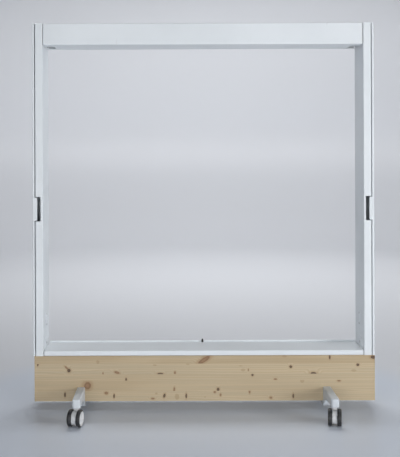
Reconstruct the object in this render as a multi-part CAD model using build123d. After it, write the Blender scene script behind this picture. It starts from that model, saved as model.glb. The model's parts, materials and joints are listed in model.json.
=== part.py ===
from build123d import *
import math
import os

# Rolling partition wall for exhibitions: an open steel frame with shelf holes in its posts,
# bolted to a glued timber plinth that stands on four outrigger arms with twin-wheel casters.
# Millimetres. +X is to the right seen from the front, +Y to the back, +Z up.
# The origin is on the floor, under the middle of the frame.

# Driving dimensions of the wall
OVERALL_HEIGHT = 1595
FLOOR_GAP = 45
PLINTH_WIDTH = 1396
PLINTH_DEPTH = 154
PLINTH_HEIGHT = 185
FRAME_WIDTH = 1402
FRAME_DEPTH = 150
PLINTH_OFFSET = 3  # the plinth ends flush with the frame on the right

# Folded steel sheet
SHEET = 2
BEND_RADIUS = 2.5  # at the middle of the sheet
EDGE_GAP = 3  # visible joint between neighbouring sheet parts

# Posts: an open profile that faces the opening, closed outside by a cover tray
POST_WIDTH = 43
PROFILE_WIDTH = 32
PROFILE_LIP = 12
COVER_WIDTH = POST_WIDTH - PROFILE_WIDTH - EDGE_GAP
COVER_LIP = 10
COVER_BEND = 1.5
CAP_THICKNESS = 2
CAP_SKIRT = 10

# Shelf holes in both posts
HOLE_RADIUS = 3.25
HOLE_PITCH = 150
HOLE_LEVELS = 8
FIRST_HOLE_HEIGHT = 308
HOLE_ROW_SPACING = 120

# Finger grips in the front of both posts: a notch in the flange and a tongue on the cover
GRIP_HEIGHT = 100
GRIP_WIDTH = 23
GRIP_CENTRE_HEIGHT = 833
GRIP_CORNER = 3
GRIP_TONGUE_REACH = 8  # how far the cover's tongue reaches into the notch

# Cover fixings
STANDOFF_FLATS = 10
STANDOFF_HEIGHTS = [295 + 300 * step for step in range(5)]
M6_RADIUS = 3
COUNTERSINK_RADIUS = 5
COVER_SCREW_REACH = 14
SOCKET_SIZE = 0.72  # corner radius of a hexagonal socket, in shank radii

# Header
HEADER_HEIGHT = 88
HEADER_LIP = 19
SLOT_LENGTH = 36
SLOT_FRONT = -22
SLOT_BACK = 56
BRACKET_THICKNESS = 3
BRACKET_LEG = 45
BRACKET_SETBACK = 15  # keeps the joint beside the header open and dark
BRACKET_BOSS_RADIUS = 6
BRACKET_BOSS_LENGTH = 6
HEADER_BOLT_DEPTHS = (-40, 40)
HEADER_BOLT_DROPS = (25, 60)  # below the top of the frame

# Sill
SILL_HEIGHT = 21
SILL_LIP = 14
STRIP_THICKNESS = 3
STRIP_RISE = 7  # the strip stands above the sill's top
TAB_DEPTHS = (-42, 22)
TAB_RISE = 40
SILL_SCREW_DEPTH = -10
SILL_SCREW_HEIGHT = 270
M5_RADIUS = 2.5

# Keeper plates near the foot of both posts
KEEPER_WIDTH = 24
KEEPER_HEIGHT = 60
KEEPER_CENTRE_HEIGHT = 367
KEEPER_THICKNESS = 1.5
KEEPER_SCREW_SPACING = 44
KEEPER_PAD = (16, 28, 1.5)  # width, height and rise of the raised middle
M4_RADIUS = 2

# Post feet
FOOT_THICKNESS = 4
FOOT_WIDTH = 32
FOOT_DEPTH = 120
FOOT_RISE = 55
FOOT_SCREW_DEPTHS = (-35, 35)
FOOT_SCREW_OFFSET = 20

# Lag screws and bolts
M8_RADIUS = 4
HEX_M8 = 7.5  # corner radius of the head
HEX_M6 = 5.8
LAG_DEPTH = 45
HEAD_M8 = 5
HEAD_M6 = 4

# Cradles under the plinth
CRADLE_WIDTH = 32
CRADLE_HEIGHT = 21
CRADLE_WALL = 3
CRADLE_SCREW_DEPTHS = (-12, 12)

# Outrigger arms
ARM_SPREAD = 504  # from the middle of the frame to each arm
ARM_WIDTH = 32
ARM_TOP = 103
ARM_ROOT_BOTTOM = 25
ARM_UNDERSIDE = 72
ARM_ARCH_LENGTH = 90
ARM_ARCH_MIDDLE = (40, 58)  # out from the plinth, height
ARM_WALL = 4
ARM_ROOT_WALL = 10
ARM_TOP_WALL = 5
ARM_EDGE = 5
NOSE_BOTTOM = 70
NOSE_CORNER = 9
NOSE_SOLID = 36
SWIVEL_REACH = 149  # from the plinth's face to the swivel axis
TONGUE_LENGTH = 40
TONGUE_WIDTH = 22
ARM_BOLT_INSET = 25

# Casters
WHEEL_RADIUS = 32.5
WHEEL_WIDTH = 16.3
TRACK_INNER = 9.7  # from the swivel axis to each wheel's inner face
TRAIL = 16
REST_SWIVEL = -12  # degrees, as the wheels last rolled
TYRE_INNER_RADIUS = 27.5
TYRE_SHOULDER = 3
HUB_RIM = 3.5
HUB_DISH = 1.2
HUB_BOSS_RADIUS = 8
AXLE_RADIUS = 4
AXLE_HALF_LENGTH = 23.5
RUNNING_CLEARANCE = 0.05
HOUSING_RADIUS = 27.5
HOUSING_THICKNESS = 17.5
HOUSING_FLOOR = 14  # height at which the housing's disc is cut off
HOUSING_NECK = 20
HOUSING_TOP = 68.5
HOUSING_EDGE = 1.5
HOUSING_CORNER = 3
STEM_RADIUS = 5
STEM_BOTTOM = 43
STEM_TOP = 95
STEM_GROOVE = 0.6
WASHER_RADIUS = 12
WASHER_THICKNESS = 1.2

# Sill stop
STOP_RADIUS = 4
STOP_TOP = 265

# Places that follow from the driving dimensions
FRAME_BASE = FLOOR_GAP + PLINTH_HEIGHT
HALF_DEPTH = FRAME_DEPTH / 2
PLINTH_FACE = PLINTH_DEPTH / 2
POST_INNER = FRAME_WIDTH / 2 - POST_WIDTH
POST_TOP = OVERALL_HEIGHT - CAP_THICKNESS
RAIL_END = POST_INNER - EDGE_GAP
HEADER_BOTTOM = OVERALL_HEIGHT - HEADER_HEIGHT
SILL_TOP = FRAME_BASE + SILL_HEIGHT
SWIVEL_DEPTH = PLINTH_FACE + SWIVEL_REACH
FOOT_SCREW_X = POST_INNER + FOOT_SCREW_OFFSET
ARM_BOLT_DEPTH = PLINTH_FACE - ARM_BOLT_INSET
CRADLE_TOP_INNER = FLOOR_GAP - CRADLE_WALL

FROM_BASE = (Align.CENTER, Align.CENTER, Align.MIN)
RIGHTWARD = (1, 0, 0)
LEFTWARD = (-1, 0, 0)
UPWARD = (0, 0, 1)
BEYOND = 1  # how far a cutter runs past the face it starts from

os.makedirs("parts", exist_ok=True)


def block(x, y, z):
    """A box between a low and a high limit on each axis."""
    limits = (x, y, z)
    size = [high - low for low, high in limits]
    centre = [(high + low) / 2 for low, high in limits]
    return Pos(*centre) * Box(*size)


def rod(radius, start, direction, length):
    """A cylinder that begins at a point and runs along a direction."""
    return Plane(origin=start, z_dir=direction) * Cylinder(radius, length, align=FROM_BASE)


def hexagon(corner_radius, start, direction, length):
    """A six-sided prism that begins at a point and runs along a direction."""
    outline = Plane(origin=start, z_dir=direction) * RegularPolygon(corner_radius, 6)
    return extrude(outline, length)


def folded_sheet(plane, corners, length, thickness=SHEET, radius=BEND_RADIUS):
    """Sheet bent at each corner of its middle line, extruded along the plane's normal."""
    middle_line = FilletPolyline(*corners, radius=radius)
    return extrude(plane * trace(middle_line, line_width=thickness), length)


def save(node, *shapes):
    """Writes the solids of one node to its own file."""
    solids = [solid for shape in shapes for solid in shape.solids()]
    export_step(Compound(solids), f"parts/{node}.step")


def left_of(shape):
    """The mirror image of a right-hand piece."""
    return mirror(shape, about=Plane.YZ)


def save_frame_pair(name, right_piece):
    """Saves a right-hand piece of the frame and its left-hand mirror image as two nodes."""
    save("right_" + name, right_piece)
    save("left_" + name, left_of(right_piece))


def save_frame_group(node, right_pieces):
    """Saves identical pieces from both sides of the frame as one node."""
    save(node, *[side for piece in right_pieces for side in (piece, left_of(piece))])


def with_socket(screw, head_face, inward, radius):
    """The screw with a hexagonal socket in its head, sized from the shank's radius."""
    return screw - hexagon(SOCKET_SIZE * radius, head_face, inward, SOCKET_SIZE * radius)


def shelf_hole_cutters():
    """Drills for both rows of shelf holes in the right-hand post's web."""
    heights = [FIRST_HOLE_HEIGHT + HOLE_PITCH * level for level in range(HOLE_LEVELS)]
    depths = (-HOLE_ROW_SPACING / 2, HOLE_ROW_SPACING / 2)
    return [web_cutter(HOLE_RADIUS, depth, height) for depth in depths for height in heights]


def web_cutter(radius, depth, height):
    """A drill through the web of the right-hand post."""
    return rod(radius, (POST_INNER - BEYOND, depth, height), RIGHTWARD, SHEET + 2 * BEYOND)


def header_bolt_spots():
    """Depth and height of each bolt between a header bracket and its post."""
    return [
        (depth, OVERALL_HEIGHT - drop) for depth in HEADER_BOLT_DEPTHS for drop in HEADER_BOLT_DROPS
    ]


def keeper_screw_heights():
    """Heights of the two screws of a keeper plate."""
    return [KEEPER_CENTRE_HEIGHT + side * KEEPER_SCREW_SPACING / 2 for side in (-1, 1)]


def post_profile():
    """Right-hand post: web towards the opening, two flanges and two short lips."""
    middle = SHEET / 2
    web_x = POST_INNER + middle
    lip_x = POST_INNER + PROFILE_WIDTH - middle
    face_y = HALF_DEPTH - middle
    lip_y = HALF_DEPTH - PROFILE_LIP
    corners = [
        (lip_x, -lip_y),
        (lip_x, -face_y),
        (web_x, -face_y),
        (web_x, face_y),
        (lip_x, face_y),
        (lip_x, lip_y),
    ]
    base = Plane.XY.offset(FRAME_BASE)
    profile = folded_sheet(base, corners, POST_TOP - FRAME_BASE)
    profile -= grip_cutter()
    for cutter in shelf_hole_cutters():
        profile -= cutter
    for depth, height in header_bolt_spots():
        profile -= web_cutter(M6_RADIUS, depth, height)
    for height in keeper_screw_heights():
        profile -= web_cutter(M4_RADIUS, 0, height)
    profile -= web_cutter(M5_RADIUS, SILL_SCREW_DEPTH, SILL_SCREW_HEIGHT)
    return profile


def grip_cutter():
    """The finger grip: a notch from the outer edge of the front flange."""
    outer = POST_INNER + PROFILE_WIDTH
    cutter = block(
        (outer - GRIP_WIDTH, outer + GRIP_WIDTH),
        (-HALF_DEPTH - BEYOND, -HALF_DEPTH + PROFILE_LIP + BEYOND),
        (GRIP_CENTRE_HEIGHT - GRIP_HEIGHT / 2, GRIP_CENTRE_HEIGHT + GRIP_HEIGHT / 2),
    )
    return fillet(cutter.edges().filter_by(Axis.Y), GRIP_CORNER)


def with_grip_tongue(cover):
    """The right-hand cover with a tongue that leaves a finger slot in the grip's notch."""
    edge = POST_INNER + POST_WIDTH - COVER_WIDTH
    half = GRIP_HEIGHT / 2 - EDGE_GAP
    heights = (GRIP_CENTRE_HEIGHT - half, GRIP_CENTRE_HEIGHT + half)
    inside = SHEET - HALF_DEPTH
    cover -= block((edge - SHEET, edge + SHEET), (inside, inside + COVER_LIP), heights)
    reach = edge - EDGE_GAP - GRIP_TONGUE_REACH
    tongue = block((reach, edge + SHEET), (-HALF_DEPTH, inside), heights)
    return cover + fillet(tongue.edges().filter_by(Axis.Y).group_by(Axis.X)[0], GRIP_CORNER)


def side_cover():
    """Right-hand cover: a shallow tray that closes the post's outer side."""
    middle = SHEET / 2
    outer_x = POST_INNER + POST_WIDTH - middle
    lip_x = outer_x - COVER_WIDTH + SHEET
    face_y = HALF_DEPTH - middle
    lip_y = HALF_DEPTH - COVER_LIP
    corners = [
        (lip_x, -lip_y),
        (lip_x, -face_y),
        (outer_x, -face_y),
        (outer_x, face_y),
        (lip_x, face_y),
        (lip_x, lip_y),
    ]
    base = Plane.XY.offset(FRAME_BASE)
    cover = folded_sheet(base, corners, POST_TOP - FRAME_BASE, radius=COVER_BEND)
    cover = with_grip_tongue(cover)
    for height in STANDOFF_HEIGHTS:
        cover -= cover_screw(height)
    return cover


def cover_screw(height):
    """Countersunk screw that comes in from the outside, flush with the cover."""
    outside = POST_INNER + POST_WIDTH
    shank = rod(M6_RADIUS, (outside, 0, height), LEFTWARD, COVER_SCREW_REACH)
    seat = Plane(origin=(outside - SHEET, 0, height), z_dir=RIGHTWARD)
    return shank + seat * Cone(M6_RADIUS, COUNTERSINK_RADIUS, SHEET, align=FROM_BASE)


def cover_screws():
    """The screws of the right-hand cover, each with a socket in its head."""
    outside = POST_INNER + POST_WIDTH
    return [
        with_socket(cover_screw(height), (outside, 0, height), LEFTWARD, M6_RADIUS)
        for height in STANDOFF_HEIGHTS
    ]


def cover_standoff(height):
    """Hexagonal spacer between the post's web and the cover, tapped for the screw."""
    length = POST_WIDTH - 2 * SHEET
    corner_radius = STANDOFF_FLATS / math.sqrt(3)
    spacer = hexagon(corner_radius, (POST_INNER + SHEET, 0, height), RIGHTWARD, length)
    return spacer - cover_screw(height)


def post_cap():
    """Lid on top of the right-hand post, with a skirt that plugs into it."""
    lid = block(
        (POST_INNER, POST_INNER + POST_WIDTH),
        (-HALF_DEPTH, HALF_DEPTH),
        (POST_TOP, OVERALL_HEIGHT),
    )
    lid = fillet(lid.edges().filter_by(Axis.Z), BEND_RADIUS)
    skirt = block(
        (POST_INNER + 2 * SHEET, POST_INNER + PROFILE_WIDTH - 2 * SHEET),
        (-HALF_DEPTH + PROFILE_LIP, HALF_DEPTH - PROFILE_LIP),
        (POST_TOP - CAP_SKIRT, POST_TOP),
    )
    return lid + skirt


def post_foot():
    """Angle inside the foot of the right-hand post, screwed down to the plinth."""
    inside = POST_INNER + SHEET
    depths = (-FOOT_DEPTH / 2, FOOT_DEPTH / 2)
    plate = block((inside, inside + FOOT_WIDTH), depths, (FRAME_BASE, FRAME_BASE + FOOT_THICKNESS))
    upstand = block((inside, inside + FOOT_THICKNESS), depths, (FRAME_BASE, FRAME_BASE + FOOT_RISE))
    foot = plate + upstand - sill_screw()
    for screw in foot_screws():
        foot -= screw
    return foot


def foot_screws():
    """Lag screws that hold the right-hand foot on the plinth."""
    seat = FRAME_BASE + FOOT_THICKNESS
    return [lag_screw((FOOT_SCREW_X, depth, seat), -1) for depth in FOOT_SCREW_DEPTHS]


def lag_screw(seat, way):
    """Hexagon-head screw whose head sits on a level seat; way is +1 up or -1 down."""
    direction = (0, 0, way)
    head = hexagon(HEX_M8, seat, (0, 0, -way), HEAD_M8)
    return head + rod(M8_RADIUS, seat, direction, LAG_DEPTH + FOOT_THICKNESS)


def header_profile():
    """Channel between the posts, open upwards, with a slot beside each post."""
    middle = SHEET / 2
    face_y = HALF_DEPTH - middle
    lip_y = HALF_DEPTH - HEADER_LIP
    bottom = HEADER_BOTTOM + middle
    top = OVERALL_HEIGHT - middle
    corners = [
        (-lip_y, top),
        (-face_y, top),
        (-face_y, bottom),
        (face_y, bottom),
        (face_y, top),
        (lip_y, top),
    ]
    profile = folded_sheet(Plane.YZ.offset(-RAIL_END), corners, 2 * RAIL_END)
    slot = block(
        (RAIL_END - SLOT_LENGTH, RAIL_END + BEYOND),
        (SLOT_FRONT, SLOT_BACK),
        (HEADER_BOTTOM - BEYOND, HEADER_BOTTOM + SHEET + BEYOND),
    )
    return profile - slot - left_of(slot)


def header_lid():
    """Sheet that closes the header from above, under the channel's lips."""
    side = HALF_DEPTH - 2 * SHEET
    top = OVERALL_HEIGHT - SHEET
    return block((-RAIL_END, RAIL_END), (-side, side), (top - SHEET, top))


def header_bracket():
    """Angle in the joint between header and right-hand post, welded to the header."""
    side = HALF_DEPTH - BRACKET_SETBACK
    floor = HEADER_BOTTOM + SHEET
    ceiling = OVERALL_HEIGHT - 2 * SHEET
    plate = block((RAIL_END, RAIL_END + BRACKET_THICKNESS), (-side, side), (floor, ceiling))
    leg = block(
        (RAIL_END - BRACKET_LEG, RAIL_END),
        (-side, SLOT_FRONT - BRACKET_THICKNESS),
        (floor, floor + BRACKET_THICKNESS),
    )
    bracket = plate + leg
    for depth, height in header_bolt_spots():
        start = (RAIL_END, depth, height)
        bracket += rod(BRACKET_BOSS_RADIUS, start, LEFTWARD, BRACKET_BOSS_LENGTH)
    for bolt in header_bolts():
        bracket -= bolt
    return bracket


def header_bolts():
    """Bolts through the right-hand web into the bracket, heads inside the post."""
    seat_x = POST_INNER + SHEET
    length = SHEET + BRACKET_THICKNESS + BRACKET_BOSS_LENGTH
    bolts = []
    for depth, height in header_bolt_spots():
        seat = (seat_x, depth, height)
        head = hexagon(HEX_M6, seat, RIGHTWARD, HEAD_M6)
        bolts.append(head + rod(M6_RADIUS, seat, LEFTWARD, length))
    return bolts


def sill_profile():
    """Low channel between the posts, with a screwed tab against each of them."""
    middle = SHEET / 2
    front_y = HALF_DEPTH - middle
    rear_y = HALF_DEPTH - STRIP_THICKNESS - middle
    bottom = FRAME_BASE + middle
    top = SILL_TOP - middle
    corners = [
        (SILL_LIP - HALF_DEPTH, bottom),
        (-front_y, bottom),
        (-front_y, top),
        (rear_y, top),
        (rear_y, bottom),
        (rear_y - SILL_LIP, bottom),
    ]
    profile = folded_sheet(Plane.YZ.offset(-RAIL_END), corners, 2 * RAIL_END)
    bridge = block((RAIL_END - SILL_LIP, POST_INNER), TAB_DEPTHS, (SILL_TOP - SHEET, SILL_TOP))
    tab = block((POST_INNER - SHEET, POST_INNER), TAB_DEPTHS, (SILL_TOP - SHEET, SILL_TOP + TAB_RISE))
    end = fillet(tab.edges().filter_by(Axis.X).group_by(Axis.Z)[-1], GRIP_CORNER) + bridge
    end -= sill_screw()
    return profile + end + left_of(end)


def sill_rear_strip():
    """Flat strip along the back of the sill that stands a little above it."""
    strip = block(
        (-RAIL_END, RAIL_END),
        (HALF_DEPTH - STRIP_THICKNESS, HALF_DEPTH),
        (FRAME_BASE, SILL_TOP + STRIP_RISE),
    )
    top_edges = strip.edges().filter_by(Axis.X).group_by(Axis.Z)[-1]
    return fillet(top_edges, STRIP_THICKNESS / 3)


def sill_screw():
    """Pan-head screw through tab, web and foot, its head in the opening."""
    head_height = 2 * M5_RADIUS / 2
    seat = (POST_INNER - SHEET, SILL_SCREW_DEPTH, SILL_SCREW_HEIGHT)
    head = rod(2 * M5_RADIUS, seat, LEFTWARD, head_height)
    head = fillet(head.edges().sort_by(Axis.X)[0], head_height / 2)
    face = (POST_INNER - SHEET - head_height, SILL_SCREW_DEPTH, SILL_SCREW_HEIGHT)
    screw = head + rod(M5_RADIUS, seat, RIGHTWARD, 2 * SHEET + FOOT_THICKNESS + M5_RADIUS)
    return with_socket(screw, face, RIGHTWARD, M5_RADIUS)


def sill_stop():
    """Rubber stop on the rear edge of the sill, at its middle."""
    depth = HALF_DEPTH - STRIP_THICKNESS - STOP_RADIUS
    post = rod(STOP_RADIUS, (0, depth, SILL_TOP), UPWARD, STOP_TOP - SILL_TOP)
    return fillet(post.edges().sort_by(Axis.Z)[-1], STOP_RADIUS / 2)


def keeper_plate():
    """Small plate on the right-hand web with a raised middle and two screws."""
    width, height, rise = KEEPER_PAD
    plate = keeper_slab(KEEPER_WIDTH, KEEPER_HEIGHT, 0, KEEPER_THICKNESS)
    plate += keeper_slab(width, height, KEEPER_THICKNESS, rise)
    for screw in keeper_screws():
        plate -= screw
    return plate


def keeper_slab(width, height, lift, thickness):
    """Round-cornered slab on the web, lifted off it towards the opening."""
    slab = block(
        (POST_INNER - lift - thickness, POST_INNER - lift),
        (-width / 2, width / 2),
        (KEEPER_CENTRE_HEIGHT - height / 2, KEEPER_CENTRE_HEIGHT + height / 2),
    )
    return fillet(slab.edges().filter_by(Axis.X), GRIP_CORNER)


def keeper_screws():
    """Pan-head screws of the right-hand keeper plate."""
    screws = []
    for height in keeper_screw_heights():
        seat = (POST_INNER - KEEPER_THICKNESS, 0, height)
        head = rod(2 * M4_RADIUS, seat, LEFTWARD, M4_RADIUS)
        head = fillet(head.edges().sort_by(Axis.X)[0], M4_RADIUS / 2)
        screw = head + rod(M4_RADIUS, seat, RIGHTWARD, KEEPER_THICKNESS + 2 * SHEET)
        face = (seat[0] - M4_RADIUS, 0, height)
        screws.append(with_socket(screw, face, RIGHTWARD, M4_RADIUS))
    return screws


def plinth_beam():
    """Glued timber beam with pilot holes for every screw that enters it."""
    beam = block(
        (PLINTH_OFFSET - PLINTH_WIDTH / 2, PLINTH_OFFSET + PLINTH_WIDTH / 2),
        (-PLINTH_FACE, PLINTH_FACE),
        (FLOOR_GAP, FRAME_BASE),
    )
    beam = chamfer(beam.edges(), SHEET)
    for screw in foot_screws():
        beam -= screw
        beam -= left_of(screw)
    for screw in cradle_screws() + arm_bolts():
        beam -= screw
    return beam


def cradle():
    """Channel under the plinth that joins a front arm to a rear arm, on the wall's middle."""
    side = (CRADLE_WIDTH - CRADLE_WALL) / 2
    bottom = FLOOR_GAP - CRADLE_HEIGHT
    top = FLOOR_GAP - CRADLE_WALL / 2
    corners = [(-side, bottom), (-side, top), (side, top), (side, bottom)]
    start = Plane.XZ.offset(-PLINTH_FACE)
    channel = folded_sheet(start, corners, PLINTH_DEPTH, thickness=CRADLE_WALL)
    for depth in (*CRADLE_SCREW_DEPTHS, -ARM_BOLT_DEPTH, ARM_BOLT_DEPTH):
        channel -= rod(M8_RADIUS, (0, depth, CRADLE_TOP_INNER - BEYOND), UPWARD, CRADLE_WALL + BEYOND)
    return channel


def cradle_screws():
    """Lag screws from inside both cradles up into the plinth."""
    return [
        lag_screw((side * ARM_SPREAD, depth, CRADLE_TOP_INNER), 1)
        for side in (-1, 1)
        for depth in CRADLE_SCREW_DEPTHS
    ]


def arm_bolts():
    """Long screws from below through each arm's tongue and cradle into the plinth."""
    length = FLOOR_GAP - ARM_ROOT_BOTTOM + LAG_DEPTH
    bolts = []
    for side in (-1, 1):
        for depth in (-ARM_BOLT_DEPTH, ARM_BOLT_DEPTH):
            seat = (side * ARM_SPREAD, depth, ARM_ROOT_BOTTOM)
            head = hexagon(HEX_M8, seat, (0, 0, -1), HEAD_M8)
            bolts.append(head + rod(M8_RADIUS, seat, UPWARD, length))
    return bolts


def arm():
    """Hollow cast arm that reaches forward from the plinth, on the wall's middle."""
    face = -PLINTH_FACE
    nose = -SWIVEL_DEPTH
    half = ARM_WIDTH / 2
    arch_out, arch_height = ARM_ARCH_MIDDLE
    arch_end = (face - ARM_ARCH_LENGTH, ARM_UNDERSIDE)
    outline = Polyline(
        arch_end, (nose, ARM_UNDERSIDE), (nose, ARM_TOP), (face, ARM_TOP), (face, ARM_ROOT_BOTTOM)
    )
    outline += ThreePointArc((face, ARM_ROOT_BOTTOM), (face - arch_out, arch_height), arch_end)
    body = extrude(Plane.YZ * make_face(outline), half, both=True)
    nose_block = block((-half, half), (nose - half, nose + half), (NOSE_BOTTOM, ARM_TOP))
    body += fillet(nose_block.edges().filter_by(Axis.Z).group_by(Axis.Y)[0], NOSE_CORNER)
    top_edges = body.faces().sort_by(Axis.Z)[-1].edges()
    body = fillet([edge for edge in top_edges if edge.center().Y < face - BEYOND], ARM_EDGE)
    hollow = block(
        (ARM_WALL - half, half - ARM_WALL),
        (nose + NOSE_SOLID / 2, face - ARM_ROOT_WALL),
        (0, ARM_TOP - ARM_TOP_WALL),
    )
    body -= fillet(hollow.edges().filter_by(Axis.Z), GRIP_CORNER)
    body += block(
        (-TONGUE_WIDTH / 2, TONGUE_WIDTH / 2),
        (face, face + TONGUE_LENGTH),
        (ARM_ROOT_BOTTOM, CRADLE_TOP_INNER),
    )
    body -= rod(M8_RADIUS, (0, -ARM_BOLT_DEPTH, 0), UPWARD, FLOOR_GAP)
    body -= rod(STEM_RADIUS, (0, nose, 0), UPWARD, STEM_TOP)
    return body


def caster_stem():
    """Steel pin, pressed into the arm's nose, that the caster turns on."""
    stem = rod(STEM_RADIUS, (0, 0, STEM_BOTTOM), UPWARD, STEM_TOP - STEM_BOTTOM)
    stem = chamfer(stem.edges().group_by(Axis.Z)[0], STEM_GROOVE)
    groove = rod(STEM_RADIUS, (0, 0, STEM_BOTTOM + STEM_RADIUS), UPWARD, 2 * STEM_GROOVE)
    core = rod(STEM_RADIUS - STEM_GROOVE, (0, 0, STEM_BOTTOM), UPWARD, STEM_TOP - STEM_BOTTOM)
    return stem - (groove - core)


def swivel_washer():
    """Slide washer between the arm's nose and the caster housing."""
    ring = rod(WASHER_RADIUS, (0, 0, NOSE_BOTTOM - WASHER_THICKNESS), UPWARD, WASHER_THICKNESS)
    return ring - rod(STEM_RADIUS, (0, 0, 0), UPWARD, NOSE_BOTTOM + BEYOND)


def caster_housing():
    """Flat housing between the wheels: a disc round the axle with a neck for the stem."""
    disc = Pos(-TRAIL, WHEEL_RADIUS) * Circle(HOUSING_RADIUS)
    neck_height = HOUSING_TOP - WHEEL_RADIUS
    neck = Pos(0, WHEEL_RADIUS + neck_height / 2) * Rectangle(HOUSING_NECK, neck_height)
    below = Pos(-TRAIL, HOUSING_FLOOR - HOUSING_RADIUS) * Rectangle(
        2 * HOUSING_RADIUS, 2 * HOUSING_RADIUS
    )
    outline = disc + neck - below
    outline = fillet(outline.vertices(), HOUSING_CORNER)
    body = extrude(Plane.YZ * outline, HOUSING_THICKNESS / 2, both=True)
    rims = body.faces().filter_by(Axis.X).edges()
    body = fillet(rims, HOUSING_EDGE)
    body -= rod(
        STEM_RADIUS + RUNNING_CLEARANCE, (0, 0, STEM_BOTTOM - BEYOND), UPWARD, HOUSING_TOP
    )
    return body - caster_axle()


def caster_axle():
    """Steel axle through the housing, carrying a wheel at each end."""
    start = (-AXLE_HALF_LENGTH, -TRAIL, WHEEL_RADIUS)
    axle = rod(AXLE_RADIUS, start, RIGHTWARD, 2 * AXLE_HALF_LENGTH)
    return chamfer(axle.edges().filter_by(GeomType.CIRCLE), STEM_GROOVE)


def wheel_hub():
    """Right-hand wheel centre: dished outer face, blind bore that runs on the axle."""
    inner = TRACK_INNER
    outer = TRACK_INNER + WHEEL_WIDTH
    dish_floor = outer - HUB_DISH
    bore = AXLE_RADIUS + RUNNING_CLEARANCE
    bore_end = AXLE_HALF_LENGTH + RUNNING_CLEARANCE * 4
    rim = TYRE_INNER_RADIUS - HUB_RIM
    outline = Polyline(
        (inner, bore),
        (inner, TYRE_INNER_RADIUS),
        (outer, TYRE_INNER_RADIUS),
        (outer, rim),
        (dish_floor, rim - HUB_DISH),
        (dish_floor, HUB_BOSS_RADIUS + HUB_DISH),
        (outer, HUB_BOSS_RADIUS),
        (outer, 0),
        (bore_end, 0),
        (bore_end, bore),
        close=True,
    )
    return place_wheel(revolve(make_face(outline), Axis.X))


def wheel_tyre():
    """Right-hand solid rubber tyre with rounded shoulders."""
    width = WHEEL_WIDTH
    height = WHEEL_RADIUS - TYRE_INNER_RADIUS
    section = Pos(TRACK_INNER + width / 2, TYRE_INNER_RADIUS + height / 2) * Rectangle(width, height)
    section = fillet(section.vertices().group_by(Axis.Y)[-1], TYRE_SHOULDER)
    return place_wheel(revolve(section, Axis.X))


def place_wheel(shape):
    """Moves a wheel part from the origin to the axle of its caster."""
    return Pos(0, -TRAIL, WHEEL_RADIUS) * shape


def corners():
    """Name, side and way of each corner: side is -1 left or +1 right, way -1 front or +1 rear."""
    for way, end in ((-1, "front"), (1, "rear")):
        for side, hand in ((-1, "left"), (1, "right")):
            yield f"{end}_{hand}", side, way


def save_frame():
    """Posts, header and sill with their fasteners."""
    save_frame_pair("post_profile", post_profile())
    save_frame_pair("side_cover", side_cover())
    standoffs = [cover_standoff(height) for height in STANDOFF_HEIGHTS]
    save("right_cover_standoffs", *standoffs)
    save("left_cover_standoffs", *[left_of(spacer) for spacer in standoffs])
    save_frame_group("cover_screws", cover_screws())
    save_frame_pair("post_cap", post_cap())
    save_frame_pair("post_foot", post_foot())
    save_frame_group("foot_screws", foot_screws())
    save("header_profile", header_profile())
    save("header_lid", header_lid())
    save_frame_pair("header_bracket", header_bracket())
    save_frame_group("header_bolts", header_bolts())
    save("sill_profile", sill_profile())
    save("sill_rear_strip", sill_rear_strip())
    save_frame_group("sill_screws", [sill_screw()])
    save("sill_stop", sill_stop())
    save_frame_pair("keeper_plate", keeper_plate())
    save_frame_group("keeper_screws", keeper_screws())


def save_base():
    """Plinth, cradles and arms with their fasteners."""
    save("plinth_beam", plinth_beam())
    channel = cradle()
    save("left_cradle", Pos(-ARM_SPREAD, 0, 0) * channel)
    save("right_cradle", Pos(ARM_SPREAD, 0, 0) * channel)
    save("cradle_screws", *cradle_screws())
    save("arm_bolts", *arm_bolts())
    front_arm = arm()
    rear_arm = mirror(front_arm, about=Plane.XZ)
    for name, side, way in corners():
        piece = front_arm if way < 0 else rear_arm
        save(f"{name}_arm", Pos(side * ARM_SPREAD, 0, 0) * piece)


def save_casters():
    """Four twin-wheel casters; the rear pair trails backwards, the front pair forwards."""
    swivels = [Pos(side * ARM_SPREAD, way * SWIVEL_DEPTH, 0) for name, side, way in corners()]
    save("caster_stems", *[place * caster_stem() for place in swivels])
    save("swivel_washers", *[place * swivel_washer() for place in swivels])
    housing = caster_housing()
    axle = caster_axle()
    hub = wheel_hub()
    tyre = wheel_tyre()
    for name, side, way in corners():
        turn = REST_SWIVEL if way < 0 else REST_SWIVEL + 180
        place = Pos(side * ARM_SPREAD, way * SWIVEL_DEPTH, 0) * Rot(0, 0, turn)
        save(f"{name}_housing", place * housing)
        save(f"{name}_axle", place * axle)
        for hand, outward in (("left", way), ("right", -way)):
            for kind, wheel_part in (("hub", hub), ("tyre", tyre)):
                shape = wheel_part if outward > 0 else left_of(wheel_part)
                save(f"{name}_{hand}_{kind}", place * shape)


save_frame()
save_base()
save_casters()
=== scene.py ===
import json
import math
import random

import bmesh
import bpy
from mathutils import Matrix, Vector


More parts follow.
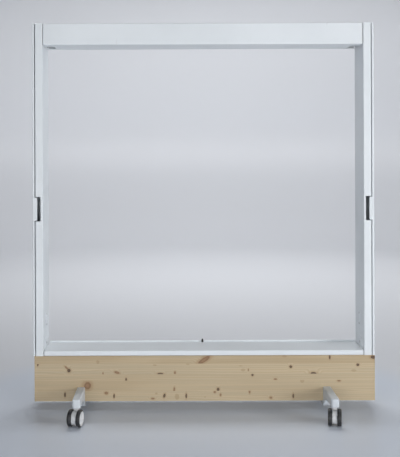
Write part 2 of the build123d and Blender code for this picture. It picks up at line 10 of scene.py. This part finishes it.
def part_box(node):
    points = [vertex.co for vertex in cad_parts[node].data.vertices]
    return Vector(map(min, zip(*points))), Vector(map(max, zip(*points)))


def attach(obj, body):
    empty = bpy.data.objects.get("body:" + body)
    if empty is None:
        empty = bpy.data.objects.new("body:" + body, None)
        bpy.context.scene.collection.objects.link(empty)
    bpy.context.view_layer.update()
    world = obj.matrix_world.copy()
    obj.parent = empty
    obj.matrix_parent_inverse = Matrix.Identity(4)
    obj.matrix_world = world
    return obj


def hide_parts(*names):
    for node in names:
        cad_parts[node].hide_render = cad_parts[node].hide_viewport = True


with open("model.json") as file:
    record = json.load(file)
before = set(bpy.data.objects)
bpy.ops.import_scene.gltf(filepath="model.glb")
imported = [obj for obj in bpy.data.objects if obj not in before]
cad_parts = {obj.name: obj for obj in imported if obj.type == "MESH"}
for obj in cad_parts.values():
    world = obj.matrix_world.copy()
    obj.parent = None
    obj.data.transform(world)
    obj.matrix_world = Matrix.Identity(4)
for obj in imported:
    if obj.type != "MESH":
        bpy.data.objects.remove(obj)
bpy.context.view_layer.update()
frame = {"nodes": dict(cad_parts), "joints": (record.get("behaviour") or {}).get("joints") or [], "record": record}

# Looks of the rolling partition wall. Metres. +X is to the right seen from the front, +Y to the
# back, +Z up. The CAD nodes keep their shape and get materials; the plinth's boards and the
# wheels are built here, inside the space of the CAD nodes that they stand for.

MM = 0.001
SEGMENTS = 96  # round every turned piece
FLAT_ANGLE = math.radians(30)

# Edges sharper than this, in degrees, stay sharp
BOARD_SMOOTH_ANGLE = 30
WHEEL_SMOOTH_ANGLE = 35
COVE_SMOOTH_ANGLE = 60

# The camera stands in front, left of the middle, and looks level along +Y
CAMERA_PLACE = (-0.134, -3.221, 1.057)
CAMERA_ROLL = math.radians(0.2)
CAMERA_LENS = 60.4
CAMERA_SENSOR = 36
CAMERA_SHIFT = (0.0645, -0.1626)

# Studio: a round cove, whose floor is a little darker and bluer round the object than further out
COVE_RADIUS = 7.0
COVE_BEND = 1.5
COVE_HEIGHT = 4.0
COVE_STEPS = 12
POOL_MIDDLE = -0.25  # the darker pool lies a little in front of the object
POOL_EDGE = (1.0, 1.3)
FLOOR_NEAR = (0.75, 0.81, 0.905, 1)
FLOOR_FAR = (0.80, 0.82, 0.86, 1)
GLOW_EDGE = (1.3, 4.0)
GLOW = 0.06
FLOOR_ROUGHNESS = 0.38
WORLD_COLOUR = (0.80, 0.86, 0.95, 1)
WORLD_STRENGTH = 0.02

# Area lights: place, target, size and power
LIGHTS = {
    "key": ((3.4, -2.6, 0.9), (0, 0, 0.5), (2.0, 1.2), 72),
    "front_low": ((-0.8, -4.4, 0.5), (0, 0, 0.5), (2.5, 0.8), 57),
    "top_front": ((0.0, -2.2, 3.6), (0, -1.2, 0), (3.0, 1.6), 20),
    "top_back": ((0.2, 2.4, 3.7), (0.2, 2.6, 0), (3.0, 2.0), 75),
    "backdrop": ((0.3, 3.6, 3.3), (0.3, 6.8, 0.7), (2.0, 1.0), 34),
    "rear": ((3.6, 3.4, 0.9), (0, 0, 0.7), (3.0, 1.0), 7),
}

# Powder coat, plastics, steel and rubber: linear colours
COAT_LIGHT = (0.80, 0.84, 0.87, 1)
COAT_DULL = (0.75, 0.79, 0.82, 1)
COAT_SCUFF = (0.50, 0.51, 0.52, 1)
# The arms' coat is the white coat made greyer: painted shade that stands in for the dim light on the arms' top
# faces
ARM_SHADED_LIGHT = (0.68, 0.72, 0.76, 1)
ARM_SHADED_DULL = (0.62, 0.66, 0.70, 1)
ZINC_LIGHT = (0.66, 0.67, 0.68, 1)
ZINC_DARK = (0.50, 0.51, 0.53, 1)
HOUSING_LIGHT = (0.66, 0.67, 0.68, 1)
HOUSING_DARK = (0.58, 0.59, 0.60, 1)
HUB_LIGHT = (0.76, 0.77, 0.78, 1)
HUB_DUSTY = (0.48, 0.48, 0.47, 1)
HUB_ROUGHNESS = 0.32
TYRE_CLEAN = (0.012, 0.013, 0.016, 1)
TYRE_DUSTY = (0.07, 0.068, 0.066, 1)
STOP_COLOUR = (0.02, 0.02, 0.02, 1)

# Spruce: heights of the glue joints over the beam's underside, and how tanned each board is
GLUE_JOINTS = (0, 41, 84, 110, 153, 185)
BOARD_TANS = (0.10, 0.22, 0.16, 0.04, 0.30)
BOARD_BEVEL = 2 * MM
BOARD_SECTIONS = 60
BOARD_WAVE = 0.12 * MM
GLUE_EDGE = 0.3  # share of the full bevel at the glue joints
RING_SPACING = 3.6 * MM
WOOD_LIGHT = (0.60, 0.49, 0.325, 1)
WOOD_LATE = (0.40, 0.275, 0.145, 1)
WOOD_GREY = (0.46, 0.385, 0.265, 1)
KNOT_HALO = (0.37, 0.22, 0.11, 1)

# Each kind of knot: its colour, the colour of its heart, and how strongly it shows
KNOT_LOOKS = {
    "dead": ((0.075, 0.045, 0.028, 1), (0.15, 0.085, 0.045, 1), 0.95),
    "sound": ((0.22, 0.115, 0.055, 1), (0.30, 0.17, 0.09, 1), 0.8),
    "faint": ((0.36, 0.24, 0.13, 1), (0.36, 0.24, 0.13, 1), 0.45),
}

# Knots in the beam's front: across from the frame's middle, height over the beam's underside,
# half length and half height in millimetres, and turn in degrees
KNOTS = {
    "dead": [
        (-554, 126, 6, 7, 0), (-179, 111, 10, 4, 0), (199, 106, 4, 5, 0), (356, 139, 5, 5, 0),
        (449, 110, 11, 7, 0), (631, 146, 5, 5, 0), (516, 177, 3, 7, 0), (694, 177, 9, 6, 0),
        (-570, 27, 3, 9, 0), (-369, 21, 3, 8, 0), (-163, 22, 4, 8, 15), (-73, 21, 3, 9, 0),
        (366, 19, 3, 8, 0), (-319, 87, 3, 7, 0), (-681, 151, 3, 6, 10), (58, 47, 5, 6, 0),
    ],
    "sound": [
        (-478, 64, 13, 14, 10), (0, 167, 27, 8, -36), (-357, 117, 9, 4, 15), (553, 83, 6, 5, 0),
        (-401, 33, 6, 5, 0), (-122, 46, 3, 9, 5), (44, 36, 4, 4, 0), (68, 24, 3, 5, 0),
        (-210, 10, 6, 3, 0), (-119, 116, 3, 5, 0), (293, 88, 5, 3, 0), (274, 12, 5, 4, 0),
        (187, 39, 3, 8, 0), (182, 126, 2, 4, 0), (-414, 114, 2, 4, 0), (-563, 137, 3, 9, -45),
    ],
    "faint": [
        (-435, 161, 6, 7, 0), (-66, 151, 7, 3, 0), (-111, 17, 8, 12, 0), (403, 81, 8, 8, 0),
        (614, 122, 10, 5, 0), (330, 181, 9, 4, 0), (150, 143, 8, 2, 0), (160, 126, 8, 5, 0),
        (-202, 147, 8, 3, 0), (-196, 31, 5, 4, 0), (4, 16, 3, 3, 0),
    ],
}
KNOT_LEAN = 14  # degrees that a knot leans as it goes through the beam
KNOT_REACH = 1000  # a knot's half depth in millimetres, far more than the beam's
PITH_SEED = 7
FAR = 9.0  # further from a knot than any look reaches, in knot sizes

# Wheels
TREAD_CROWN = 0.5 * MM
SEAM_HALF_WIDTH = 0.4 * MM
TYRE_SHOULDER = 3.5 * MM
SHOULDER_STEPS = 6
HUB_RIM = 3.5 * MM
HUB_DISH = 1.2 * MM
HUB_DISH_STEPS = 10
HUB_EASE = 0.5 * MM
HUB_RIM_EASE = 0.4 * MM
HUB_BOSS = 8 * MM
HUB_SPOKES = 5
POCKET_DEPTH = 1.8 * MM
POCKET_MARGIN = 2 * MM
POCKET_OUTER_MARGIN = 3 * MM


class Surface:
    """A material with one Principled shader, and short ways to add nodes in front of it."""

    def __init__(self, name):
        self.material = bpy.data.materials.new(name)
        self.material.use_nodes = True
        self.tree = self.material.node_tree
        self.tree.nodes.clear()
        self.shader = self.add("ShaderNodeBsdfPrincipled")
        output = self.add("ShaderNodeOutputMaterial")
        self.tree.links.new(self.shader.outputs["BSDF"], output.inputs["Surface"])
        coordinates = self.add("ShaderNodeTexCoord")
        self.place = coordinates.outputs["Object"]
        self.facing = coordinates.outputs["Normal"]

    def add(self, kind, **settings):
        node = self.tree.nodes.new(kind)
        for name, value in settings.items():
            setattr(node, name, value)
        return node

    def feed(self, socket, value):
        """Links a socket to another node's output, or sets it to a number or colour."""
        if isinstance(value, bpy.types.NodeSocket):
            self.tree.links.new(value, socket)
        else:
            socket.default_value = value

    def set(self, name, value):
        self.feed(self.shader.inputs[name], value)

    def math(self, operation, first, second=0.0):
        node = self.add("ShaderNodeMath", operation=operation)
        self.feed(node.inputs[0], first)
        self.feed(node.inputs[1], second)
        return node.outputs[0]

    def axes(self, vector):
        """The x, y and z outputs of a vector."""
        node = self.add("ShaderNodeSeparateXYZ")
        self.feed(node.inputs[0], vector)
        return node.outputs

    def scaled(self, x, y, z):
        """The place on the object, with each axis scaled."""
        node = self.add("ShaderNodeMapping")
        self.feed(node.inputs["Vector"], self.place)
        node.inputs["Scale"].default_value = (x, y, z)
        return node.outputs["Vector"]

    def noise(self, scale, detail=2.0, where=None):
        node = self.add("ShaderNodeTexNoise")
        self.feed(node.inputs["Vector"], where or self.place)
        node.inputs["Scale"].default_value = scale
        node.inputs["Detail"].default_value = detail
        return node.outputs["Fac"]

    def between(self, value, low, high, to_low=0.0, to_high=1.0):
        """Smooth step of a value from one range to another."""
        node = self.add("ShaderNodeMapRange", interpolation_type="SMOOTHSTEP")
        for name, part in zip(
            ("Value", "From Min", "From Max", "To Min", "To Max"), (value, low, high, to_low, to_high)
        ):
            self.feed(node.inputs[name], part)
        return node.outputs["Result"]

    def mix(self, share, first, second):
        """Colour that goes from first to second as share goes from 0 to 1."""
        node = self.add("ShaderNodeMix", data_type="RGBA")
        self.feed(node.inputs[0], share)
        self.feed(node.inputs[6], first)
        self.feed(node.inputs[7], second)
        return node.outputs[2]

    def bump(self, height, depth, strength=1.0):
        node = self.add("ShaderNodeBump")
        self.feed(node.inputs["Height"], height)
        node.inputs["Distance"].default_value = depth
        node.inputs["Strength"].default_value = strength
        self.set("Normal", node.outputs["Normal"])


def powder_coat(name, light, dull):
    """Satin coat with a fine orange peel, cloudy dulling and faint scuffs."""
    surface = Surface(name)
    cloud = surface.between(surface.noise(3.0, 4.0), 0.35, 0.7)
    scuff_noise = surface.noise(38.0, 5.0, surface.scaled(1, 1, 0.22))
    scuff = surface.between(scuff_noise, 0.69, 0.80, 0.0, 0.35)
    colour = surface.mix(cloud, light, dull)
    surface.set("Base Color", surface.mix(scuff, colour, COAT_SCUFF))
    surface.set("Roughness", surface.between(surface.noise(9.0, 3.0), 0.3, 0.7, 0.36, 0.50))
    surface.bump(surface.noise(650.0, 1.0), 0.04 * MM, 0.35)
    return surface.material


def zinc():
    """Bright zinc plate with a faint spangle."""
    surface = Surface("zinc_steel")
    surface.set("Metallic", 1.0)
    spangle = surface.add("ShaderNodeTexVoronoi")
    surface.feed(spangle.inputs["Vector"], surface.place)
    spangle.inputs["Scale"].default_value = 260.0
    shade = surface.axes(spangle.outputs["Color"])[0]
    surface.set("Base Color", surface.mix(shade, ZINC_LIGHT, ZINC_DARK))
    surface.set("Roughness", surface.between(shade, 0.0, 1.0, 0.28, 0.46))
    surface.bump(surface.noise(900.0, 2.0), 0.02 * MM, 0.3)
    return surface.material


def moulded(name, light, dark, roughness, grain_scale):
    """Moulded plastic or rubber with a fine texture and slight cloudiness."""
    surface = Surface(name)
    cloud = surface.between(surface.noise(30.0, 3.0), 0.35, 0.7)
    surface.set("Base Color", surface.mix(cloud, light, dark))
    surface.set("Roughness", surface.between(cloud, 0.0, 1.0, roughness - 0.05, roughness + 0.08))
    surface.bump(surface.noise(grain_scale, 1.0), 0.03 * MM, 0.4)
    return surface.material


def wheel_radius(surface):
    """Distance from a wheel's own axis, which is the object's X axis."""
    across = surface.add("ShaderNodeVectorMath", operation="MULTIPLY")
    surface.feed(across.inputs[0], surface.place)
    across.inputs[1].default_value = (0, 1, 1)
    length = surface.add("ShaderNodeVectorMath", operation="LENGTH")
    surface.feed(length.inputs[0], across.outputs[0])
    return length.outputs["Value"]


def tyre_rubber(radius):
    """Black rubber, with dust on the tread that has rolled on the floor."""
    surface = Surface("tyre_black")
    tread = surface.between(wheel_radius(surface), radius - 2.5 * MM, radius - 0.3 * MM)
    patches = surface.between(surface.noise(120.0, 5.0), 0.42, 0.68)
    dust = surface.math("MULTIPLY", surface.math("MULTIPLY", tread, patches), 0.55)
    surface.set("Base Color", surface.mix(dust, TYRE_CLEAN, TYRE_DUSTY))
    surface.set("Roughness", surface.between(dust, 0.0, 0.6, 0.36, 0.75))
    surface.bump(surface.noise(900.0, 2.0), 0.05 * MM, 0.4)
    return surface.material


def hub_plastic(radius):
    """Off-white plastic that is a little dirty beside the tyre."""
    surface = Surface("hub_white")
    surface.set("Roughness", HUB_ROUGHNESS)
    edge = surface.between(wheel_radius(surface), radius - 3 * MM, radius)
    patches = surface.between(surface.noise(150.0, 4.0), 0.35, 0.7)
    dirt = surface.math("MULTIPLY", surface.math("MULTIPLY", edge, patches), 0.6)
    surface.set("Base Color", surface.mix(dirt, HUB_LIGHT, HUB_DUSTY))
    surface.bump(surface.noise(1200.0, 1.0), 0.02 * MM, 0.3)
    return surface.material


def knot_distance(surface, board, knots):
    """Distance from the nearest of a board's knots, in knot sizes, with a ragged outline."""
    nearest = FAR
    for across, height, half_length, half_height, turn in knots:
        if not board["joints"][0] <= height < board["joints"][1]:
            continue
        knot = surface.add("ShaderNodeMapping", vector_type="TEXTURE")
        surface.feed(knot.inputs["Vector"], surface.place)
        place = (across * MM, board["beam_front"], board["beam_low"] + height * MM)
        knot.inputs["Location"].default_value = place
        lean = math.radians(KNOT_LEAN) * (1 if half_length % 2 else -1)
        knot.inputs["Rotation"].default_value = (lean / 3, math.radians(turn), lean)
        size = (half_length, KNOT_REACH, half_height)
        knot.inputs["Scale"].default_value = [side * MM for side in size]
        length = surface.add("ShaderNodeVectorMath", operation="LENGTH")
        surface.feed(length.inputs[0], knot.outputs["Vector"])
        nearest = surface.math("MINIMUM", length.outputs["Value"], nearest)
    ragged = surface.math("MULTIPLY", surface.noise(110.0, 3.0), 0.6)
    return surface.math("SUBTRACT", surface.math("ADD", nearest, 0.3), ragged)


def growth_rings(surface, board, knot):
    """Share of dark latewood: rings round the pith, which pass round the knots."""
    x, y, z = surface.axes(surface.place)
    wander = surface.noise(1.0, 3.0, surface.scaled(1.3, 9, 9))
    from_pith_y = surface.math("SUBTRACT", y, board["pith_y"])
    from_pith_z = surface.math("SUBTRACT", z, board["pith_z"])
    squares = [surface.math("POWER", side, 2.0) for side in (from_pith_y, from_pith_z)]
    radius = surface.math("SQRT", surface.math("ADD", squares[0], squares[1]))
    radius = surface.math("ADD", radius, surface.math("MULTIPLY", wander, 22 * MM))
    radius = surface.math("ADD", radius, surface.between(knot, 0.5, 4.0, 7 * MM, 0.0))
    ring = surface.math("FRACT", surface.math("DIVIDE", radius, RING_SPACING))
    return surface.math("POWER", ring, 2.6)


def spruce(board):
    """Planed, unvarnished spruce for one board: rings, streaks, knots and fibres."""
    surface = Surface(f"spruce_{board['index'] + 1}")
    distances = {kind: knot_distance(surface, board, KNOTS[kind]) for kind in KNOTS}
    nearest = surface.math("MINIMUM", distances["dead"], distances["sound"])
    rings = growth_rings(surface, board, nearest)
    streak = surface.between(surface.noise(1.0, 4.0, surface.scaled(1.6, 26, 95)), 0.34, 0.68)
    patch = surface.between(surface.noise(1.0, 2.0, surface.scaled(2.2, 5, 12)), 0.3, 0.7)
    colour = surface.mix(surface.math("MULTIPLY", rings, 0.55), WOOD_LIGHT, WOOD_LATE)
    colour = surface.mix(surface.math("MULTIPLY", streak, 0.55), colour, WOOD_GREY)
    tan = surface.between(patch, 0.0, 1.0, board["tan"] / 2, board["tan"] * 1.5)
    colour = surface.mix(tan, colour, WOOD_LATE)
    colour = surface.mix(surface.between(nearest, 1.1, 2.4, 0.45, 0.0), colour, KNOT_HALO)
    for kind, (rim, heart, strength) in KNOT_LOOKS.items():
        knot = surface.mix(surface.between(distances[kind], 0.3, 0.7), heart, rim)
        shown = surface.between(distances[kind], 0.85, 1.25, strength, 0.0)
        colour = surface.mix(shown, colour, knot)
    sideways = surface.math("ABSOLUTE", surface.axes(surface.facing)[0])
    end_grain = surface.between(sideways, 0.6, 0.8, 0.0, 0.3)
    surface.set("Base Color", surface.mix(end_grain, colour, WOOD_LATE))
    fibres = surface.noise(1.0, 3.0, surface.scaled(35, 900, 900))
    relief = surface.math("ADD", fibres, surface.math("MULTIPLY", rings, 0.5))
    surface.set("Roughness", surface.between(rings, 0.0, 1.0, 0.66, 0.52))
    surface.bump(relief, 0.10 * MM, 0.5)
    return surface.material


def studio_floor():
    """Smooth floor and cove: darker and bluer round the object, pale and faintly glowing far out."""
    surface = Surface("studio_floor")
    surface.set("Roughness", FLOOR_ROUGHNESS)
    from_pool = surface.add("ShaderNodeVectorMath", operation="DISTANCE")
    surface.feed(from_pool.inputs[0], surface.place)
    from_pool.inputs[1].default_value = (0, POOL_MIDDLE, 0)
    distance = from_pool.outputs["Value"]
    surface.set("Base Color", surface.mix(surface.between(distance, *POOL_EDGE), FLOOR_NEAR, FLOOR_FAR))
    surface.set("Emission Color", FLOOR_FAR)
    surface.set("Emission Strength", surface.between(distance, *GLOW_EDGE, 0.0, GLOW))
    surface.set("Specular IOR Level", 0.35)
    return surface.material


def new_piece(name, bm, material, smooth_angle):
    """An object from a bmesh, shaded smooth except across edges sharper than the angle."""
    mesh = bpy.data.meshes.new(name)
    bmesh.ops.recalc_face_normals(bm, faces=bm.faces)
    bm.to_mesh(mesh)
    bm.free()
    mesh.shade_smooth()
    mesh.set_sharp_from_angle(angle=math.radians(smooth_angle))
    mesh.materials.append(material)
    piece = bpy.data.objects.new(name, mesh)
    bpy.context.scene.collection.objects.link(piece)
    return piece


def turned(outline, inset=None, closed=True):
    """A bmesh turned about the X axis; outline is (along, radius) pairs.

    inset gives how far a point sinks along the axis, from its place, radius and angle.
    """
    bm = bmesh.new()
    rings = []
    for along, radius in outline:
        if radius == 0:
            rings.append([bm.verts.new((along, 0, 0))] * SEGMENTS)
            continue
        ring = []
        for step in range(SEGMENTS):
            angle = 2 * math.pi * step / SEGMENTS
            sink = inset(along, radius, angle) if inset else 0
            ring.append(bm.verts.new((along - sink, radius * math.cos(angle), radius * math.sin(angle))))
        rings.append(ring)
    pairs = list(zip(rings, rings[1:]))
    if closed:
        pairs.append((rings[-1], rings[0]))
    for first, second in pairs:
        for step in range(SEGMENTS):
            after = (step + 1) % SEGMENTS
            corners = dict.fromkeys((first[step], first[after], second[after], second[step]))
            if len(corners) > 2:
                bm.faces.new(corners)
    return bm


def arc(centre, radius, start, end, steps):
    """Points on a circular arc, in degrees."""
    angles = [math.radians(start + (end - start) * step / steps) for step in range(steps + 1)]
    return [(centre[0] + radius * math.cos(a), centre[1] + radius * math.sin(a)) for a in angles]


def tyre_outline(half, inner, outer):
    """Section of a tyre: crowned tread with a flat seam at its middle, and round shoulders."""
    shoulder = TYRE_SHOULDER
    edge = outer - TREAD_CROWN
    points = [(-half, inner)]
    points += arc((-half + shoulder, edge - shoulder), shoulder, 180, 90, SHOULDER_STEPS)
    points += [(-half * 0.25, outer - TREAD_CROWN / 6)]
    points += [(-SEAM_HALF_WIDTH, outer), (SEAM_HALF_WIDTH, outer)]
    points += [(half * 0.25, outer - TREAD_CROWN / 6)]
    points += arc((half - shoulder, edge - shoulder), shoulder, 90, 0, SHOULDER_STEPS)
    return points + [(half, inner)]


def hub_outline(half, outer):
    """Section of a hub whose open face is towards +X: rim, dish and a domed cap."""
    rim = outer - HUB_RIM
    floor = half - HUB_DISH
    points = [(-half, 0), (-half, outer), (half - HUB_EASE, outer), (half, outer - HUB_EASE)]
    points += [(half, rim + HUB_RIM_EASE), (half - HUB_RIM_EASE, rim)]
    span = rim - HUB_DISH - (HUB_BOSS + HUB_DISH)
    for step in range(HUB_DISH_STEPS):
        points.append((floor, rim - HUB_DISH - span * step / HUB_DISH_STEPS))
    points += [(floor, HUB_BOSS + HUB_DISH), (half - HUB_EASE, HUB_BOSS)]
    points += [(half - 0.1 * MM, HUB_BOSS * 0.8), (half, HUB_BOSS * 0.4), (half, 0)]
    return points


def spoke_pockets(half, outer):
    """How deep the hub's face sinks between its spokes."""
    inner_edge = HUB_BOSS + POCKET_MARGIN
    outer_edge = outer - HUB_RIM - POCKET_OUTER_MARGIN

    def inset(along, radius, angle):
        if along < half - 2 * HUB_DISH or not inner_edge < radius < outer_edge:
            return 0
        ring = min(radius - inner_edge, outer_edge - radius) / MM
        web = abs(math.cos(HUB_SPOKES * angle / 2)) * HUB_SPOKES
        return POCKET_DEPTH * min(1, ring) * min(1, max(0, web - 0.8))

    return inset


def span_along(node, axis):
    """Lowest and highest place of a CAD node along an axis."""
    places = [vertex.co.dot(axis) for vertex in frame["nodes"][node].data.vertices]
    return min(places), max(places)


def half_height(node):
    low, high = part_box(node)
    return (high.z - low.z) / 2


def make_wheels():
    """A turned tyre and hub on every wheel body, open face away from the caster's middle."""
    wheel_joints = [joint for joint in frame["joints"] if joint["child"].endswith("_wheel")]
    first_wheel = wheel_joints[0]["child"].removesuffix("_wheel")
    outer = half_height(f"{first_wheel}_tyre")
    inner = half_height(f"{first_wheel}_hub")
    rubber = tyre_rubber(outer)
    plastic = hub_plastic(inner)
    for joint in wheel_joints:
        wheel = joint["child"].removesuffix("_wheel")
        axis = Vector(joint["axis"]).normalized()
        outward = -axis if wheel.endswith("_left") else axis
        near, far = span_along(f"{wheel}_tyre", outward)
        half = (far - near) / 2
        centre = Vector(joint["pos_m"])
        centre += outward * ((near + far) / 2 - centre.dot(outward))
        place = Matrix.Translation(centre) @ outward.to_track_quat("X", "Z").to_matrix().to_4x4()
        tyre = turned(tyre_outline(half, inner, outer))
        hub = turned(hub_outline(half, inner), spoke_pockets(half, inner), closed=False)
        for node, bm, material, slot in (
            (f"{wheel}_tyre", tyre, rubber, "tyre_black"),
            (f"{wheel}_hub", hub, plastic, "hub_white"),
        ):
            piece = new_piece(f"turned_{node}", bm, material, WHEEL_SMOOTH_ANGLE)
            piece.matrix_world = place
            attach(piece, joint["child"])
            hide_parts(node)


def board_mesh(low, high, beam_low, beam_high, seed):
    """A long board whose faces wander a little inwards, with heavy bevels only outside."""
    rng = random.Random(seed)
    bm = bmesh.new()
    sink_front = rng.uniform(0.0, 0.35) * MM
    sink_back = rng.uniform(0.0, 0.35) * MM
    sink_end = rng.uniform(0.0, 0.5) * MM
    phase = rng.uniform(0, 6)
    loops = []
    for section in range(BOARD_SECTIONS + 1):
        share = section / BOARD_SECTIONS
        x = low.x + sink_end + (high.x - low.x - 2 * sink_end) * share
        wave = BOARD_WAVE * (1 + math.sin(phase + 9 * share)) / 2
        front = low.y + sink_front + wave
        back = high.y - sink_back - wave
        corners = ((front, low.z), (back, low.z), (back, high.z), (front, high.z))
        loops.append([bm.verts.new((x, y, z)) for y, z in corners])
    for first, second in zip(loops, loops[1:]):
        for corner in range(4):
            after = (corner + 1) % 4
            bm.faces.new((first[corner], first[after], second[after], second[corner]))
    bm.faces.new(loops[0])
    bm.faces.new(reversed(loops[-1]))
    weight = bm.edges.layers.float.new("bevel_weight_edge")
    for edge in bm.edges:
        if edge.calc_face_angle() < FLAT_ANGLE:
            continue
        start, end = (vertex.co.z for vertex in edge.verts)
        upright = abs(start - end) > MM
        outermost = min(start - beam_low, beam_high - start) < MM
        edge[weight] = 1.0 if upright or outermost else GLUE_EDGE
    return bm


def make_plinth():
    """The glued beam as five boards, each with its own spruce."""
    low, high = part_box("plinth_beam")
    rng = random.Random(PITH_SEED)
    for index, joints in enumerate(zip(GLUE_JOINTS, GLUE_JOINTS[1:])):
        board_low = Vector((low.x, low.y, low.z + joints[0] * MM))
        board_high = Vector((high.x, high.y, low.z + joints[1] * MM))
        middle = (board_low.z + board_high.z) / 2
        board = {
            "index": index,
            "joints": joints,
            "beam_low": low.z,
            "beam_front": low.y,
            "pith_y": rng.uniform(-0.03, 0.12),
            "pith_z": middle + rng.choice((-1, 1)) * rng.uniform(0.03, 0.09),
            "tan": BOARD_TANS[index],
        }
        bm = board_mesh(board_low, board_high, low.z, high.z, index)
        piece = new_piece(f"plinth_board_{index + 1}", bm, spruce(board), BOARD_SMOOTH_ANGLE)
        bevel = piece.modifiers.new("eased_edges", "BEVEL")
        bevel.limit_method = "WEIGHT"
        bevel.width = BOARD_BEVEL
        bevel.segments = 3
        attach(piece, "wall")
        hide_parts("plinth_beam")


def dress_nodes():
    """Gives every CAD node that still shows the material of its record slot."""
    materials = {
        "white_powder_coat": powder_coat("white_powder_coat", COAT_LIGHT, COAT_DULL),
        # the arms get a greyer copy of the white coat: painted shade for their dimly lit tops
        "arm_grey": powder_coat("arm_grey", ARM_SHADED_LIGHT, ARM_SHADED_DULL),
        "zinc_steel": zinc(),
        "caster_grey": moulded("caster_grey", HOUSING_LIGHT, HOUSING_DARK, 0.42, 700.0),
        "stop_black": moulded("stop_black", STOP_COLOUR, TYRE_DUSTY, 0.7, 900.0),
    }
    for part in frame["record"]["subparts"]:
        material = materials.get(part["material_slot"])
        if material:
            mesh = frame["nodes"][part["node"]].data
            mesh.materials.clear()
            mesh.materials.append(material)


def make_cove():
    """Round studio: a level floor that bends up into a wall behind every camera."""
    outline = [(0, 0), (0, COVE_RADIUS - COVE_BEND)]
    outline += arc((COVE_BEND, COVE_RADIUS - COVE_BEND), COVE_BEND, 180, 90, COVE_STEPS)
    outline += [(COVE_HEIGHT, COVE_RADIUS)]
    bm = turned(outline, closed=False)
    bmesh.ops.rotate(bm, matrix=Matrix.Rotation(-math.pi / 2, 3, "Y"), verts=bm.verts)
    new_piece("studio_cove", bm, studio_floor(), COVE_SMOOTH_ANGLE)


def light_studio():
    """Area lights, and a weak bluish sky over the cove."""
    for name, (place, target, size, power) in LIGHTS.items():
        light = bpy.data.lights.new(name, "AREA")
        light.shape = "RECTANGLE"
        light.size, light.size_y = size
        light.energy = power
        lamp = bpy.data.objects.new(name, light)
        lamp.location = place
        aim = Vector(target) - Vector(place)
        lamp.rotation_euler = aim.to_track_quat("-Z", "Y").to_euler()
        bpy.context.scene.collection.objects.link(lamp)
    world = bpy.data.worlds.new("studio")
    world.use_nodes = True
    background = world.node_tree.nodes["Background"]
    background.inputs["Color"].default_value = WORLD_COLOUR
    background.inputs["Strength"].default_value = WORLD_STRENGTH
    bpy.context.scene.world = world
    bpy.context.scene.view_settings.view_transform = "Standard"


def make_camera():
    """The camera in front of the object, level, with a slight roll."""
    camera = bpy.data.cameras.new("camera")
    camera.lens = CAMERA_LENS
    camera.sensor_width = CAMERA_SENSOR
    camera.shift_x, camera.shift_y = CAMERA_SHIFT
    eye = bpy.data.objects.new("camera", camera)
    eye.location = CAMERA_PLACE
    eye.rotation_euler = (math.pi / 2, CAMERA_ROLL, 0)
    bpy.context.scene.collection.objects.link(eye)
    bpy.context.scene.camera = eye


dress_nodes()
make_plinth()
make_wheels()
make_cove()
light_studio()
make_camera()
